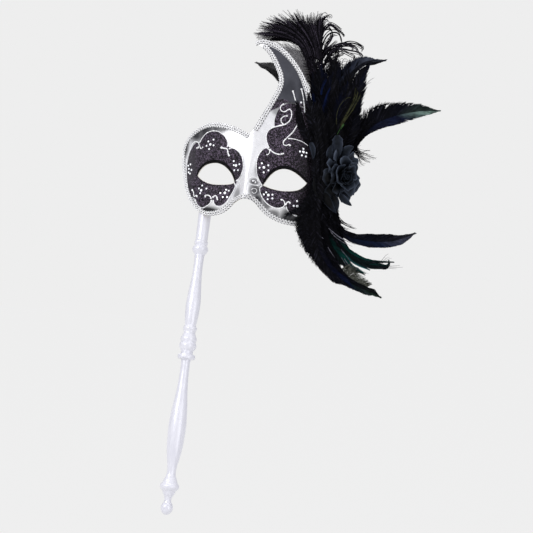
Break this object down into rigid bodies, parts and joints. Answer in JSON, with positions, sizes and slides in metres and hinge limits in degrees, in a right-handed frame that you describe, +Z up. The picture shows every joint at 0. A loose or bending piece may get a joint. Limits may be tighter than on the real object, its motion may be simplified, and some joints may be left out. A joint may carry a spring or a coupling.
{
  "type": "masquerade mask on a stick",
  "caption": "Half-face masquerade mask with a tall curved horn, braid edging, glittered eye panels, fabric rose and black feathers, held up on a slim turned stick.",
  "frame": {"origin": "centre of the hand grip: the stick's lower swell at its widest, on the stick's axis", "axes": "+Z up as the mask is worn, +Y from the mask's front to the wearer's face, +X to the viewer's right, towards the rose; the stick leans 15 degrees, its lower end towards the viewer"},
  "size_m": [0.2629, 0.1144, 0.499],
  "materials": {
    "silver_shell": "moulded shell sprayed with bright silver paint",
    "black_glitter": "black paint packed with fine glitter",
    "charcoal_satin": "charcoal satin paint",
    "silver_braid": "silver metallic scalloped gimp braid",
    "rhinestone": "clear foiled rhinestones",
    "black_felt": "stiff black felt",
    "pearl_stick": "turned wood under pearl silver paint",
    "glue": "set hot-melt glue",
    "stem_tape": "dark stem tape",
    "rose_fabric": "black blue satin petals",
    "rose_leaf": "black fabric leaves",
    "black_hackle": "black hackle feather",
    "ostrich_black": "black ostrich feather",
    "goose_black": "black goose feather with a blue sheen",
    "herl_green": "olive peacock herl",
    "coque_black": "black cock tail feather with a green sheen"
  },
  "bodies": {
    "mask": {"mask_shell": "silver_shell", "glitter_panel_left": "black_glitter", "glitter_panel_right": "black_glitter", "horn_panel": "charcoal_satin", "braid_lobe": "silver_braid", "braid_cheek": "silver_braid", "braid_temple": "silver_braid", "braid_horn_outer": "silver_braid", "braid_horn_inner": "silver_braid", "rhinestones": "rhinestone", "felt_backing_patch": "black_felt", "stick": "pearl_stick", "stick_glue_pad": "glue", "feather_disc": "black_felt", "rose_calyx": "stem_tape", "rose_outer_petals": "rose_fabric", "rose_middle_petals": "rose_fabric", "rose_inner_petals": "rose_fabric", "rose_bud": "rose_fabric", "rose_leaf_top": "rose_leaf", "rose_leaf_bottom": "rose_leaf", "hackle_temple": "black_hackle"},
    "upper_plumes": {"ostrich_plume_left": "ostrich_black", "ostrich_plume_right": "ostrich_black", "goose_feather_horn": "goose_black", "goose_feather_middle": "goose_black", "goose_feather_right": "goose_black", "peacock_herl": "herl_green"},
    "side_plume": {"coque_feather_side": "coque_black"},
    "lower_plumes": {"coque_feather_low_1": "coque_black", "coque_feather_low_2": "coque_black", "coque_feather_low_3": "coque_black", "coque_feather_low_4": "coque_black", "hackle_cheek": "black_hackle"}
  },
  "joints": [
    {"name": "upper_plumes_nod", "type": "hinge", "parent": "mask", "child": "upper_plumes", "pos_m": [0.119, 0.0765, 0.2685], "axis": [1, 0, 0], "range_deg": [-10, 4], "stiffness_Nm_per_rad": 0.25},
    {"name": "side_plume_sway", "type": "hinge", "parent": "mask", "child": "side_plume", "pos_m": [0.137, 0.0825, 0.2645], "axis": [0, 1, 0], "range_deg": [-5, 8], "stiffness_Nm_per_rad": 0.06},
    {"name": "lower_plumes_nod", "type": "hinge", "parent": "mask", "child": "lower_plumes", "pos_m": [0.121, 0.0565, 0.2345], "axis": [0.6, 0, 0.8], "range_deg": [-6, 6], "stiffness_Nm_per_rad": 0.08}
  ]
}
